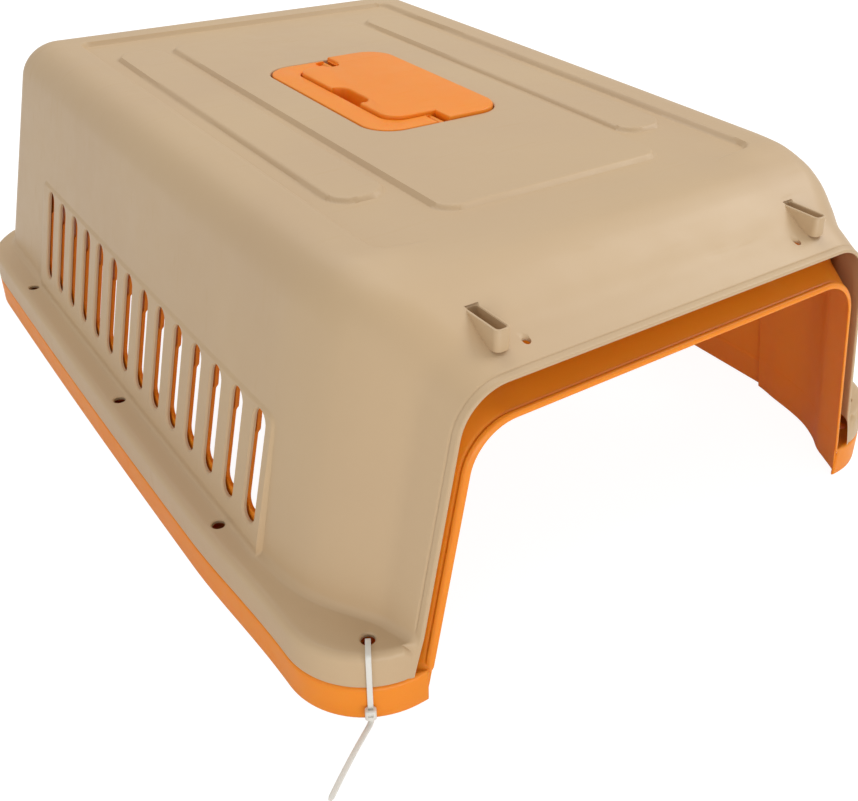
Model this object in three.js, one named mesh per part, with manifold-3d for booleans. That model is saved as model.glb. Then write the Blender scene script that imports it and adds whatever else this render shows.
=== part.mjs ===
// Pet carrier, packed for storage: the lower half-shell lies upside down inside the upper half-shell,
// a cable tie holds the two together, and a fold-flat carry handle is let into the roof.
// Millimetres. +Z is up, -Y is the front (the door opening), the origin is the middle of the footprint
// on the surface that the carrier stands on. "Depth" is the distance back from the front edge.
import * as THREE from 'three';
import { mergeVertices } from 'three/addons/utils/BufferGeometryUtils.js';
import Module from 'manifold-3d';

// ---- driving dimensions ----
const LENGTH = 578;            // front edge to back of the flange
const HALF_WIDTH = 209;        // centre plane to the skirt at its widest
const SIDE_BOW = 2.5;          // how far the flange bows out between its ends
const WALL_BOW = 2;            // the same for the side wall
const BOW_MIDDLE = 235;        // depth at which the sides are widest
const BOW_REACH = 281;         // distance from there over which a side bows by its full amount
const WALL = 2.2;              // plastic thickness
const SKIRT = 20;              // height of one skirt, and the step between the two nested shells
const SHELL_RISE = 157;        // flange top to the recessed roof panel
const RIM = 3;                 // how far the roof rim stands above that panel
const DRAFT = 0.185;           // inward lean of every wall, per unit of height
const ROOF_RADIUS = 32;        // side wall to roof
const BACK_RADIUS = 38;        // back wall to roof and to the side walls
const SIDE_FLANGE = 17.5;      // wall foot to the flange's edge, at the sides
const BACK_FLANGE = 17;        // and at the back
const FRONT_CORNER = { x: 158.5, depth: 46, radius: 46 };
const BACK_CORNER = { x: 153.3, radius: 53 };
const UPPER_MOUTH = 162;       // half-width of the upper skirt at the door opening
const LOWER_MOUTH = 153.5;     // the lower skirt turns in to meet its wall
const GAP = 0.3;               // clearance between touching pieces

const PANEL = { from: 97, to: 455, proud: 3, top: 130 };   // raised ventilation panel, heights above floor
const SLOT = { count: 14, first: 110, pitch: 25, width: 12.5 };
const SLOT_HEIGHT = 63;
const UPPER_SLOTS = { low: 53, shift: 0 };                 // foot of the slots, and how far back they stand
const LOWER_SLOTS = { low: 56, shift: 3 };
const LOWER_WIDEN = 0.6;                                   // the lower shell's foot is this much wider
const INNER_LIP = 18;                                      // the lower wall's lip below its flange top
const HOLE = { radius: 3.5, fromEdge: 9.5, depths: [131.5, 275, 454] };
const CORNER_HOLE = { x: 176.5, depth: 16.7 };
const RECESS = { floorHalfWidth: 124.5, rimHalfWidth: 128, front: 84, back: 488 };
const CROWN_EDGE = 135;                                    // where the roof's edge rounding starts
const PAD_RISE = 2.5;
const SIDE_PAD = { x: 98.5, width: 33, front: 139, back: 452, radius: 14 };
const MIDDLE_PAD = { halfWidth: 75, front: 103, back: 452, radius: 12 };
const SOCKET = { inner: 102, outer: 110.5, front: 11.5, back: 38, floor: 176, top: 185, wall: 1.6 };
const DRAIN = { x: 91.6, depth: 14.6, radius: 2.2, low: 158, high: 188 };

const HANDLE = { halfWidth: 46, front: 213, back: 363, radius: 19, innerRadius: 12 };
const GRIP_WIDTH = 17;
const ARM_WIDTH = 15;
const ARM_THICK = 7;
const POCKET_DEPTH = 12;
const PIN_RADIUS = 1.5;
const PIN_INSET = 2;           // the pins stop this far inside the tray's ends
const PIN_REACH = 9;           // and reach this far into the island
const HUB_ROOM = 0.8;          // clearance round the arms' hinge ends
const ISLAND = { from: 9, rise: 2 };                       // fixed middle of the tray, over the arms
const SCOOP = { depth: 280, radius: 17, floor: 2, overlap: 6 };
const SCREW = { radius: 1.5, length: 7, head: 3, headThick: 1.6 };

const TIE = { width: 2.7, thick: 1.1, tail: 44, tailFrom: 14.9, heading: 215, sway: -0.5 };

const FLANGE_TOP = 2 * SKIRT;                       // of the upper shell
const ROOF = FLANGE_TOP + SHELL_RISE;               // recessed roof panel of the upper shell
const PAD_TOP = ROOF + PAD_RISE;
const wasm = await Module();
wasm.setup();

// ---- materials ----
const plastic = (color, roughness) => new THREE.MeshStandardMaterial({ color, roughness, metalness: 0 });
const beige = plastic(0xc8ab84, 0.45);
const orange = plastic(0xe0822f, 0.42);
const nylon = plastic(0xe6e3da, 0.35);
const steel = new THREE.MeshStandardMaterial({ color: 0xb9bcc0, roughness: 0.3, metalness: 1 });

// ---- solids ----
const yAt = (depth) => depth - LENGTH / 2;

function toSolid(geometry) {
  const bare = geometry.clone();
  for (const name of Object.keys(bare.attributes)) if (name !== 'position') bare.deleteAttribute(name);
  const merged = mergeVertices(bare, 1e-4);
  const kept = [];
  const index = merged.index.array;
  for (let i = 0; i < index.length; i += 3) {
    const [a, b, c] = [index[i], index[i + 1], index[i + 2]];
    if (a !== b && b !== c && a !== c) kept.push(a, b, c);
  }
  return new wasm.Manifold(new wasm.Mesh({
    numProp: 3,
    vertProperties: new Float32Array(merged.attributes.position.array),
    triVerts: new Uint32Array(kept),
  }));
}

function toGeometry(solid) {
  const mesh = solid.getMesh();
  const geometry = new THREE.BufferGeometry();
  geometry.setAttribute('position', new THREE.BufferAttribute(new Float32Array(mesh.vertProperties), 3));
  geometry.setIndex(new THREE.BufferAttribute(new Uint32Array(mesh.triVerts), 1));
  geometry.computeVertexNormals();
  return geometry;
}

const joined = (solids) => solids.reduce((whole, solid) => whole.add(solid));

// A closed outline in plan, standing from the height `low` to `high`.
function prism(points, low, high) {
  const shape = new THREE.Shape(points.map(([x, y]) => new THREE.Vector2(x, y)));
  const geometry = new THREE.ExtrudeGeometry(shape, { depth: high - low, bevelEnabled: false, curveSegments: 8 });
  return toSolid(geometry.translate(0, 0, low));
}

function arc(x, y, radius, from, to, steps) {
  return Array.from({ length: steps + 1 }, (_, i) => {
    const angle = THREE.MathUtils.degToRad(from + ((to - from) * i) / steps);
    return [x + radius * Math.cos(angle), y + radius * Math.sin(angle)];
  });
}

function roundedBox(left, right, front, back, radius, steps = 5) {
  return [
    ...arc(right - radius, front + radius, radius, -90, 0, steps),
    ...arc(right - radius, back - radius, radius, 0, 90, steps),
    ...arc(left + radius, back - radius, radius, 90, 180, steps),
    ...arc(left + radius, front + radius, radius, 180, 270, steps),
  ];
}

function cylinder(radius, length, x, y, z, along = 'z', sides = 16) {
  const geometry = new THREE.CylinderGeometry(radius, radius, length, sides);
  if (along === 'z') geometry.rotateX(Math.PI / 2);
  return toSolid(geometry.translate(x, y, z));
}

// ---- shell form ----
// Each shell is a row of arches from the front edge back to the roof's rear edge, then the rounding
// of that edge, then rings that close the back wall. Its own heights count from its flange top.
const MOUTH = {
  depth: [0, 4, 15, 22, 33, 48, 62, 78],
  rise: [128.1, 129, 133.5, 136.5, 144, 152, 156, SHELL_RISE],
  radius: [27, 27.5, 29, 30, 31, 32, 32, 32],
};
const UPPER_FOOT = [158.2, 159.3, 164, 167, 175, 183.5, 187.5, 189.5];
const LOWER_FOOT = [152.5, 155, 160, 163.5, 171.5, 180.5, 185.5, 189];
const WALL_FOOT = HALF_WIDTH - SIDE_FLANGE;
const BACK_FOOT = LENGTH - BACK_FLANGE;
const BEND_STEPS = 5;
const WALL_STEPS = [20, 55];   // heights of the rows of points between a wall's foot and its panel's top
const LEAN = Math.atan(DRAFT);

const bow = (amount, depth) => amount * ((depth - BOW_MIDDLE) / BOW_REACH) ** 2;

function stationList(foot, widen) {
  const front = MOUTH.depth.map((depth, i) => (
    { depth, foot: foot[i], rise: MOUTH.rise[i], radius: MOUTH.radius[i], rim: 0, panel: 0 }
  ));
  const plain = (depth, rim, panel) => (
    { depth, foot: WALL_FOOT + widen - bow(WALL_BOW, depth), rise: SHELL_RISE, radius: ROOF_RADIUS, rim, panel }
  );
  return [
    ...front,
    plain(RECESS.front, RIM, 0),
    plain(PANEL.from - 0.6, RIM, 0),
    plain(PANEL.from + 0.6, RIM, PANEL.proud),
    plain(BOW_MIDDLE, RIM, PANEL.proud),
    plain(PANEL.to - 0.6, RIM, PANEL.proud),
    plain(PANEL.to + 0.6, RIM, 0),
    plain(RECESS.back - 2, RIM, 0),
  ];
}

// Half an arch, from the wall's foot up to the roof's centre line. Inset moves it into the plastic.
function halfArch(station, inset, flangeTop, low) {
  const roof = station.rise - inset;
  const radius = Math.max(station.radius - inset, 4);
  const side = (z) => station.foot - DRAFT * z - inset / Math.cos(LEAN);
  const centreZ = roof + station.rim - radius;
  const centreX = side(centreZ) - radius / Math.cos(LEAN);
  const panelTop = PANEL.top - FLANGE_TOP;
  const walls = [low, ...WALL_STEPS, panelTop].map((z) => (
    [side(z) + station.panel * Math.max(0, 1 - Math.max(z, 0) / panelTop), z]
  ));
  const bend = Array.from({ length: BEND_STEPS + 1 }, (_, i) => {
    const angle = LEAN + ((Math.PI / 2 - LEAN) * i) / BEND_STEPS;
    return [centreX + radius * Math.cos(angle), centreZ + radius * Math.sin(angle)];
  });
  const scale = centreX / CROWN_EDGE;
  const crown = [
    [RECESS.rimHalfWidth * scale, roof + station.rim], [RECESS.floorHalfWidth * scale, roof], [0, roof],
  ];
  return [...walls, ...bend, ...crown].map(([x, z]) => [x, z + flangeTop]);
}

function fullArch(half) {
  const left = half.map(([x, z]) => [-x, z]);
  return [...left, ...half.slice(0, -1).reverse()];
}

// Rows of points over one face of a shell: inset 0 is the outside, inset WALL the inside. The wall goes
// down to the height `low`, counted from the flange top.
function shellRows(foot, widen, inset, flangeTop, low) {
  const stations = stationList(foot, widen);
  const rows = stations.map((station) => (
    fullArch(halfArch(station, inset, flangeTop, low)).map(([x, z]) => [x, station.depth, z])
  ));
  const lastFoot = WALL_FOOT + widen - bow(WALL_BOW, BACK_FOOT - BACK_RADIUS);
  const last = { ...stations.at(-1), foot: lastFoot, rim: 0 };
  const backAt = (z) => BACK_FOOT - DRAFT * (z - flangeTop) - inset / Math.cos(LEAN);
  const bendRadius = BACK_RADIUS - inset;
  const rounded = (turn) => {
    const drop = bendRadius * (1 - Math.cos(turn));
    const station = {
      ...last, foot: last.foot - drop, rise: last.rise - drop + RIM * 0.5, radius: last.radius - 0.7 * drop,
    };
    const points = fullArch(halfArch(station, inset, flangeTop, low));
    return points.map(([x, z]) => [x, backAt(z) - bendRadius * (1 - Math.sin(turn)), z]);
  };
  for (let i = 0; i <= BEND_STEPS; i++) rows.push(rounded((Math.PI / 2) * (i / BEND_STEPS)));
  const foundation = flangeTop + low;
  const edge = rows.at(-1);
  for (const size of [0.6, 0.25, 0]) {
    rows.push(edge.map(([x, , z]) => {
      const height = foundation + size * (z - foundation);
      return [size * x, backAt(height), height];
    }));
  }
  return rows;
}

// The closed wall between an outer and an inner set of rows.
function wallBetween(outer, inner) {
  const across = outer[0].length;
  const positions = [...outer, ...inner].flat().flatMap(([x, depth, z]) => [x, yAt(depth), z]);
  const at = (row, i, face) => (face * outer.length + row) * across + i;
  const index = [];
  const quad = (a, b, c, d) => index.push(a, b, c, a, c, d);
  for (let row = 0; row + 1 < outer.length; row++) {
    for (let i = 0; i + 1 < across; i++) {
      quad(at(row, i, 0), at(row, i + 1, 0), at(row + 1, i + 1, 0), at(row + 1, i, 0));
      quad(at(row, i, 1), at(row + 1, i, 1), at(row + 1, i + 1, 1), at(row, i + 1, 1));
    }
    quad(at(row, 0, 0), at(row + 1, 0, 0), at(row + 1, 0, 1), at(row, 0, 1));
    quad(at(row, across - 1, 0), at(row, across - 1, 1), at(row + 1, across - 1, 1), at(row + 1, across - 1, 0));
  }
  for (let i = 0; i + 1 < across; i++) {
    quad(at(0, i, 0), at(0, i, 1), at(0, i + 1, 1), at(0, i + 1, 0));
  }
  const geometry = new THREE.BufferGeometry();
  geometry.setAttribute('position', new THREE.BufferAttribute(new Float32Array(positions), 3));
  geometry.setIndex(index);
  return toSolid(geometry);
}

// The flange's edge in plan, from the front left end round the back to the front right end.
function flangeEdge(inset, mouth) {
  const right = [
    [mouth, inset],
    ...arc(FRONT_CORNER.x, FRONT_CORNER.depth, FRONT_CORNER.radius - inset, -78, 0, 8),
    ...[140, BOW_MIDDLE, 340, 440].map((depth) => [HALF_WIDTH - bow(SIDE_BOW, depth) - inset, depth]),
    ...arc(BACK_CORNER.x, LENGTH - BACK_CORNER.radius, BACK_CORNER.radius - inset, 0, 90, 7),
  ];
  const mirrored = right.map(([x, depth]) => [-x, depth]);
  return [...mirrored, ...right.reverse()].map(([x, depth]) => [x, yAt(depth)]);
}

function flangeAndSkirt(rows, flangeTop, mouth) {
  const footRow = rows.map((row) => [row[0][0], yAt(row[0][1])]);
  const footLine = [...footRow, ...footRow.slice(0, -1).reverse().map(([x, y]) => [-x, y])];
  const edge = flangeEdge(0, mouth);
  const plate = prism([...edge, ...footLine.reverse()], flangeTop - WALL, flangeTop);
  const inside = flangeEdge(WALL, mouth).reverse();
  const skirt = prism([...edge, ...inside], flangeTop - SKIRT, flangeTop - WALL / 2);
  return plate.add(skirt);
}

function slotCutters({ low, shift }) {
  const half = SLOT.width / 2;
  const cutters = [];
  for (let i = 0; i < SLOT.count; i++) {
    const y = yAt(SLOT.first + i * SLOT.pitch + shift);
    const outline = [
      ...arc(y, low + half, half, 180, 360, 4),
      ...arc(y, low + SLOT_HEIGHT - half, half, 0, 180, 4),
    ];
    const shape = new THREE.Shape(outline.map(([a, b]) => new THREE.Vector2(a, b)));
    const span = 2 * HALF_WIDTH + 40;
    const geometry = new THREE.ExtrudeGeometry(shape, { depth: span, bevelEnabled: false });
    // The outline's first axis becomes Y, its second Z, and the extrusion runs along X.
    geometry.applyMatrix4(new THREE.Matrix4().set(0, 0, 1, -span / 2, 1, 0, 0, 0, 0, 1, 0, 0, 0, 0, 0, 1));
    cutters.push(toSolid(geometry));
  }
  return cutters;
}

function flangeHoles(low, high) {
  const middle = (low + high) / 2;
  const places = HOLE.depths.map((depth) => [HALF_WIDTH - bow(SIDE_BOW, depth) - HOLE.fromEdge, depth]);
  places.push([CORNER_HOLE.x, CORNER_HOLE.depth]);
  return places.flatMap(([x, depth]) => [-1, 1].map((side) => (
    cylinder(HOLE.radius, high - low, side * x, yAt(depth), middle)
  )));
}

function shell({ foot, widen, flangeTop, low, slots, mouth }) {
  const outer = shellRows(foot, widen, 0, flangeTop, low);
  const inner = shellRows(foot, widen, WALL, flangeTop, low);
  const middle = shellRows(foot, widen, WALL / 2, flangeTop, -WALL);
  const whole = wallBetween(outer, inner).add(flangeAndSkirt(middle, flangeTop, mouth));
  const cuts = [...slotCutters(slots), ...flangeHoles(flangeTop - SKIRT / 2, flangeTop + 2)];
  return whole.subtract(joined(cuts));
}

const UPPER = {
  foot: UPPER_FOOT, widen: 0, flangeTop: FLANGE_TOP, low: -WALL, slots: UPPER_SLOTS, mouth: UPPER_MOUTH,
};
const LOWER = {
  foot: LOWER_FOOT, widen: LOWER_WIDEN, flangeTop: SKIRT - GAP, low: -INNER_LIP, slots: LOWER_SLOTS,
  mouth: LOWER_MOUTH,
};

// ---- upper shell ----
function roofPad(left, right, front, back, radius) {
  return prism(roundedBox(left, right, yAt(front), yAt(back), radius), ROOF - 0.5, PAD_TOP);
}

function doorSocket(side) {
  const outline = (inset) => {
    const width = (SOCKET.outer - SOCKET.inner) / 2 - inset;
    const x = side * (SOCKET.outer + SOCKET.inner) / 2;
    const nose = arc(x, yAt(SOCKET.front + inset) + width, width, 180, 360, 6);
    return [...nose, [x + width, yAt(SOCKET.back - inset)], [x - width, yAt(SOCKET.back - inset)]];
  };
  return {
    body: prism(outline(0), SOCKET.floor - 2 * SOCKET.wall, SOCKET.top),
    hollow: prism(outline(SOCKET.wall), SOCKET.floor, SOCKET.top + 1),
  };
}

function handleOutline(grow) {
  const { halfWidth, front, back, radius } = HANDLE;
  return roundedBox(-halfWidth - grow, halfWidth + grow, yAt(front - grow), yAt(back + grow), radius + grow);
}

function upperShell() {
  const sockets = [doorSocket(-1), doorSocket(1)];
  const pads = [
    roofPad(-MIDDLE_PAD.halfWidth, MIDDLE_PAD.halfWidth, MIDDLE_PAD.front, MIDDLE_PAD.back, MIDDLE_PAD.radius),
    ...[-1, 1].map((side) => roofPad(
      side * SIDE_PAD.x - SIDE_PAD.width / 2, side * SIDE_PAD.x + SIDE_PAD.width / 2,
      SIDE_PAD.front, SIDE_PAD.back, SIDE_PAD.radius,
    )),
  ];
  const pocketFloor = PAD_TOP - POCKET_DEPTH;
  const pocketBody = prism(handleOutline(GAP + WALL), pocketFloor - WALL, PAD_TOP);
  const whole = joined([
    shell(UPPER), ...pads, pocketBody, ...sockets.map((socket) => socket.body),
  ]);
  const drains = [-1, 1].map((side) => cylinder(
    DRAIN.radius, DRAIN.high - DRAIN.low, side * DRAIN.x, yAt(DRAIN.depth), (DRAIN.low + DRAIN.high) / 2,
  ));
  return whole.subtract(joined([
    prism(handleOutline(GAP), pocketFloor, PAD_TOP + 1),
    ...sockets.map((socket) => socket.hollow),
    ...drains,
    ...screwPlaces().map(([x, y]) => cylinder(SCREW.radius + GAP, 2 * POCKET_DEPTH, x, y, pocketFloor)),
  ]));
}

// ---- handle ----
const HINGE_Z = PAD_TOP - ARM_THICK / 2;
const ARM_INNER = [HANDLE.front + ARM_WIDTH, HANDLE.back - ARM_WIDTH];
const BASE_FLOOR = PAD_TOP - POCKET_DEPTH + GAP;
const WELL_FLOOR = PAD_TOP - ARM_THICK - 1;

function screwPlaces() {
  return [[-12, 238], [-12, 338], [34, 232], [34, 344]].map(([x, depth]) => [x, yAt(depth)]);
}

// The U in plan that the folded handle fills: grip along the left, two arms to the hinge.
function handlePlan(clearance) {
  const { halfWidth, front, back, radius, innerRadius: bend } = HANDLE;
  const left = -halfWidth + clearance;
  const inside = -halfWidth + GRIP_WIDTH - clearance;
  const [innerFront, innerBack] = [yAt(ARM_INNER[0] - clearance), yAt(ARM_INNER[1] + clearance)];
  const [outerFront, outerBack] = [yAt(front + clearance), yAt(back - clearance)];
  return [
    [0, outerBack],
    ...arc(left + radius, outerBack - radius, radius, 90, 180, 6),
    ...arc(left + radius, outerFront + radius, radius, 180, 270, 6),
    [0, outerFront], [0, innerFront],
    ...arc(inside + bend, innerFront + bend, bend, 270, 180, 4),
    ...arc(inside + bend, innerBack - bend, bend, 180, 90, 4),
    [0, innerBack],
  ];
}

const armMiddles = () => [(HANDLE.front + ARM_INNER[0]) / 2, (HANDLE.back + ARM_INNER[1]) / 2];

// From inside each arm into the island: front and back ends of the two hinge pins.
const pinSpans = () => [
  [HANDLE.front + PIN_INSET, ARM_INNER[0] + PIN_REACH],
  [ARM_INNER[1] - PIN_REACH, HANDLE.back - PIN_INSET],
];

function alongHinge([from, to], radius, extra = 0) {
  return cylinder(radius, to - from + 2 * extra, 0, yAt((from + to) / 2), HINGE_Z, 'y', 12);
}

function carryHandle() {
  const bar = prism(handlePlan(GAP), HINGE_Z - ARM_THICK / 2, HINGE_Z + ARM_THICK / 2);
  const ends = armMiddles().map((depth) => (
    cylinder(ARM_THICK / 2, ARM_WIDTH - 2 * GAP, 0, yAt(depth), HINGE_Z, 'y')
  ));
  const bores = pinSpans().map((span) => alongHinge(span, PIN_RADIUS + GAP, GAP));
  return joined([bar, ...ends]).subtract(joined(bores));
}

// The fixed tray: a well for the folded handle round a raised island with a finger scoop.
function handleBase() {
  const block = prism(handleOutline(0), BASE_FLOOR, PAD_TOP);
  const { radius, innerRadius: bend } = HANDLE;
  const [front, back] = ARM_INNER.map(yAt);
  const left = -HANDLE.halfWidth + GRIP_WIDTH;
  const island = prism(
    [[ISLAND.from, front], [ISLAND.from, yAt(HANDLE.front)],
      ...arc(HANDLE.halfWidth - radius, yAt(HANDLE.front) + radius, radius, 270, 360, 5),
      ...arc(HANDLE.halfWidth - radius, yAt(HANDLE.back) - radius, radius, 0, 90, 5),
      [ISLAND.from, yAt(HANDLE.back)], [ISLAND.from, back],
      ...arc(left + bend, back - bend, bend, 90, 180, 4), ...arc(left + bend, front + bend, bend, 180, 270, 4)],
    PAD_TOP - 1, PAD_TOP + ISLAND.rise,
  );
  const above = PAD_TOP + ISLAND.rise + 1;
  const well = prism(handlePlan(-1), WELL_FLOOR, above);
  const hubRadius = ARM_THICK / 2 + HUB_ROOM;
  const hubs = armMiddles().map((depth) => cylinder(hubRadius, ARM_WIDTH + 2, 0, yAt(depth), HINGE_Z, 'y'));
  const clearances = armMiddles().map((depth) => {
    const half = ARM_WIDTH / 2 + 1;
    const room = roundedBox(-hubRadius, hubRadius, yAt(depth) - half, yAt(depth) + half, 0.5, 1);
    return prism(room, HINGE_Z, above);
  });
  const scoopY = yAt(SCOOP.depth);
  const scoopLeft = left - SCOOP.overlap;
  const scoop = prism(
    [...arc(left, scoopY, SCOOP.radius, -90, 90, 8), [scoopLeft, scoopY + SCOOP.radius],
      [scoopLeft, scoopY - SCOOP.radius]],
    BASE_FLOOR + SCOOP.floor, above,
  );
  const pinBores = pinSpans().map((span) => alongHinge(span, PIN_RADIUS + GAP, GAP));
  const bore = SCREW.radius + GAP;
  const screwBores = screwPlaces().map(([x, y]) => cylinder(bore, SCREW.length + 2, x, y, BASE_FLOOR + 1));
  return joined([block, island]).subtract(joined([well, ...hubs, ...clearances, scoop, ...pinBores, ...screwBores]));
}

function screw([x, y]) {
  const headTop = PAD_TOP - POCKET_DEPTH - WALL - GAP;
  const shaft = cylinder(SCREW.radius, SCREW.length, x, y, headTop + SCREW.length / 2 - 0.1);
  return shaft.add(cylinder(SCREW.head, SCREW.headThick, x, y, headTop - SCREW.headThick / 2));
}

// ---- cable tie ----
// The loop stands in an upright plane through the left corner hole, square to the skirt beside it.
const TIE_OUT = { x: -Math.sin(Math.PI / 6), y: -Math.cos(Math.PI / 6) };   // from the hole to the skirt
const TIE_HEAD = { from: 12, to: 16.45, low: 3.4, high: 9, width: 5.4 };

const tiePoint = ([out, z]) => [
  -CORNER_HOLE.x + TIE_OUT.x * out, yAt(CORNER_HOLE.depth) + TIE_OUT.y * out, z,
];

// A flat strap along a list of points, with its width level and square to the first stretch.
function strap(points, across) {
  const centres = points.map((point) => new THREE.Vector3(...point));
  const side = across.clone().normalize().multiplyScalar(TIE.width / 2);
  const positions = centres.flatMap((centre, i) => {
    const before = centres[Math.max(i - 1, 0)];
    const after = centres[Math.min(i + 1, centres.length - 1)];
    const out = after.clone().sub(before).cross(side).normalize().multiplyScalar(TIE.thick / 2);
    return [[1, 1], [-1, 1], [-1, -1], [1, -1]].flatMap(([a, b]) => (
      centre.clone().addScaledVector(side, a).addScaledVector(out, b).toArray()
    ));
  });
  const end = 4 * (centres.length - 1);
  const index = [0, 2, 1, 0, 3, 2, end, end + 1, end + 2, end, end + 2, end + 3];
  for (let ring = 0; ring < end; ring += 4) {
    for (let corner = 0; corner < 4; corner++) {
      const [a, b] = [ring + corner, ring + ((corner + 1) % 4)];
      index.push(a, b + 4, a + 4, a, b, b + 4);
    }
  }
  const geometry = new THREE.BufferGeometry();
  geometry.setAttribute('position', new THREE.BufferAttribute(new Float32Array(positions), 3));
  geometry.setIndex(index);
  return toSolid(geometry);
}

// The loop's points are distances out from the hole and heights: from the head under the flange, up
// through the hole, over the upper flange and down the skirt, back into the head.
function cableTie() {
  const loop = [
    [13.6, 4.4], [13.5, 2.2], [12.4, 0.95], [2.5, 0.95], [0.7, 2.6], [0, 6], [0, 37], [0.3, 39.8], [1.6, 41.1], [4, 41.25],
    [11.5, 41.25], [12.6, 40.6], [12.6, 38], [12.6, 7],
  ];
  const across = new THREE.Vector3(TIE_OUT.y, -TIE_OUT.x, 0);
  const { from, to, low, high, width } = TIE_HEAD;
  const half = across.clone().multiplyScalar(width / 2);
  const corners = [[from, -1], [to, -1], [to, 1], [from, 1]].map(([out, edge]) => {
    const [x, y] = tiePoint([out, 0]);
    return [x + half.x * edge, y + half.y * edge];
  });
  return strap(loop.map(tiePoint), across).add(prism(corners, low, high));
}

// The spare end lies on the floor, a little bent, and points away from the corner.
function tieTail() {
  const [startX, startY] = tiePoint([TIE.tailFrom, 0]);
  const heading = THREE.MathUtils.degToRad(TIE.heading);
  const steps = 6;
  const points = Array.from({ length: steps + 1 }, (_, i) => {
    const along = i / steps;
    const sway = TIE.sway * Math.sin(Math.PI * along);
    return [
      startX + Math.cos(heading) * TIE.tail * along - Math.sin(heading) * sway,
      startY + Math.sin(heading) * TIE.tail * along + Math.cos(heading) * sway,
      TIE.thick / 2 + 0.1,
    ];
  });
  return strap(points, new THREE.Vector3(-Math.sin(heading), Math.cos(heading), 0));
}

// The relief in the lower skirt's rim that lets the tie pass without lifting the carrier.
function tieRelief() {
  const across = { x: TIE_OUT.y, y: -TIE_OUT.x };
  const corners = [[8, -1], [13, -1], [13, 1], [8, 1]].map(([out, edge]) => {
    const [x, y] = tiePoint([out, 0]);
    return [x + across.x * edge * 2, y + across.y * edge * 2];
  });
  return prism(corners, -1, 1.9);
}

const group = new THREE.Group();

function place(name, solid, material) {
  const mesh = new THREE.Mesh(toGeometry(solid), material);
  mesh.name = name;
  group.add(mesh);
}

place('upper_shell', upperShell(), beige);
place('lower_shell', shell(LOWER).subtract(tieRelief()), orange);
place('handle_base', handleBase(), orange);
place('carry_handle', carryHandle(), orange);
pinSpans().forEach((span, i) => place(`handle_pin_${i + 1}`, alongHinge(span, PIN_RADIUS), steel));
screwPlaces().forEach((at, i) => place(`handle_screw_${i + 1}`, screw(at), steel));
place('cable_tie', cableTie(), nylon);
place('cable_tie_tail', tieTail(), nylon);

export default group;
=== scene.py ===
"""Pet carrier packed for storage: two nested half-shells, a fold-flat carry handle and a cable tie.

Lengths in this script are millimetres in the frame's axes: +Z up, -Y the front. "Depth" is the distance
back from the front edge. Meshes are scaled to metres when they are made.
"""
import math

import bmesh
import bpy
import numpy as np
from mathutils import Matrix, Vector


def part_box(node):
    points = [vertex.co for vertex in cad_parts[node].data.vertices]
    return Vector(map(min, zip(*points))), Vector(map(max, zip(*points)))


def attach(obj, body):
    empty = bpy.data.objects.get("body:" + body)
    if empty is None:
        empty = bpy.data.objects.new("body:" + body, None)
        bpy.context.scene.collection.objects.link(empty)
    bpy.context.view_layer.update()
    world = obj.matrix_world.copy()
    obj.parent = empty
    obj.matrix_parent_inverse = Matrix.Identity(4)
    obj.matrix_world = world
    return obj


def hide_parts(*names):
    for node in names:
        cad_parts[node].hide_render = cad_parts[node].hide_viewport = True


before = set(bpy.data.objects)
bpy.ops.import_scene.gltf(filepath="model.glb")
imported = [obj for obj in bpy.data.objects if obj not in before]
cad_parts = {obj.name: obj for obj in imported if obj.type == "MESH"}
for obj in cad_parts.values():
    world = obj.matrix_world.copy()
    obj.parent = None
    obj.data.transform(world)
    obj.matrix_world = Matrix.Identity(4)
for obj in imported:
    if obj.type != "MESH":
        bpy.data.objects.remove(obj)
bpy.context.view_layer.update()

# ---- sizes ----
METRE = 1000.0
shell_low, shell_high = (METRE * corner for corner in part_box("upper_shell"))
LENGTH = shell_high.y - shell_low.y
FRONT = shell_low.y
HALF_WIDTH = shell_high.x
SKIRT = 20.0
FLANGE_TOP = shell_low.z + SKIRT
WALL = 2.2
GAP = 0.3
RIM = 3.0                          # roof rim above the recessed roof panel
ROOF = shell_high.z - RIM
SHELL_RISE = ROOF - FLANGE_TOP
DRAFT = 0.185                      # inward lean of every wall, per unit of height
LEAN = math.atan(DRAFT)
ROOF_RADIUS = 28.0
BACK_RADIUS = 31.0
SIDE_BOW = 2.5
WALL_BOW = 2.0
BOW_MIDDLE = 235.0
FLANGE = 17.5
FRONT_CORNER = {"x": 158.5, "depth": 46.0, "radius": 46.0}
BACK_CORNER = {"x": 146.3, "radius": 60.0}
UPPER_MOUTH = 162.0                # half-width of the upper skirt at the door opening
LOWER_MOUTH = 153.5                # the lower skirt turns in to meet its wall
INNER_LIP = 18.0                   # the lower shell's wall goes on this far below its flange
WALL_FOOT = HALF_WIDTH - FLANGE
BACK_FOOT = LENGTH - FLANGE + 0.5
BEND_START = BACK_FOOT - BACK_RADIUS

MOUTH_DEPTH = [0, 4, 15, 22, 33, 48, 62, 78]
MOUTH_RISE = [128.1, 129, 133.5, 136.5, 144, 152, 156, SHELL_RISE]
MOUTH_RADIUS = [27, 27, 27, 27, 27, 27, 27.5, ROOF_RADIUS]
UPPER_FOOT = [158.2, 159.4, 163, 165.4, 172, 180.5, 186, 189]
LOWER_FOOT = [152.5, 155, 160.5, 164, 172.5, 180.5, 184.5, 187.5]
MOUTH_END = 100.0                  # depth from which the side wall's plan is one plain bow
REAR_SPREAD = 430.0                # from here back the flange's edge runs ahead of the wall's foot

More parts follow.
